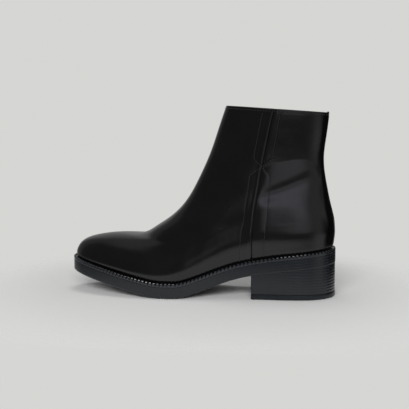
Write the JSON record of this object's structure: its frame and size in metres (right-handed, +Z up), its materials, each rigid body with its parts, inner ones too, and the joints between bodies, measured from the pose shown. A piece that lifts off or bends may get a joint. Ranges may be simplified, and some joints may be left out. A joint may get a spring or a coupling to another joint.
{
  "type": "ankle boot",
  "caption": "Black leather ankle boot for the left foot, with a stacked block heel, a notched welt, a raised outer side seam and a zip with a pull tab on its inner side.",
  "frame": {"origin": "on the floor, under the middle of the boot's length and width", "axes": "+X from the toe to the heel, +Y to the inner side of the foot, where the zip is, +Z up"},
  "size_m": [0.25, 0.0884, 0.175],
  "materials": {
    "upper_leather": "smooth black calf leather, semi-gloss",
    "insole_lining": "matte black lining",
    "outsole_rubber": "satin black edge",
    "welt_rubber": "satin black, notched top",
    "heel_stack": "satin black stacked layers",
    "top_piece_rubber": "satin black",
    "zip_tape": "woven black tape",
    "zip_metal": "black enamelled metal, satin"
  },
  "bodies": {
    "boot": {"outsole": "outsole_rubber", "welt": "welt_rubber", "insole": "insole_lining", "upper": "upper_leather", "heel_block": "heel_stack", "heel_top_piece": "top_piece_rubber", "zip_tape_front": "zip_tape", "zip_tape_back": "zip_tape", "zip_chain": "zip_metal", "zip_slider": "zip_metal"},
    "pull_tab": {"zip_pull_tab": "zip_metal"}
  },
  "joints": [
    {"name": "pull_tab_swing", "type": "hinge", "parent": "boot", "child": "pull_tab", "pos_m": [0.06631, 0.01994, 0.1645], "axis": [0.9749, -0.0107, -0.2223], "range_deg": [-3, 170]}
  ]
}
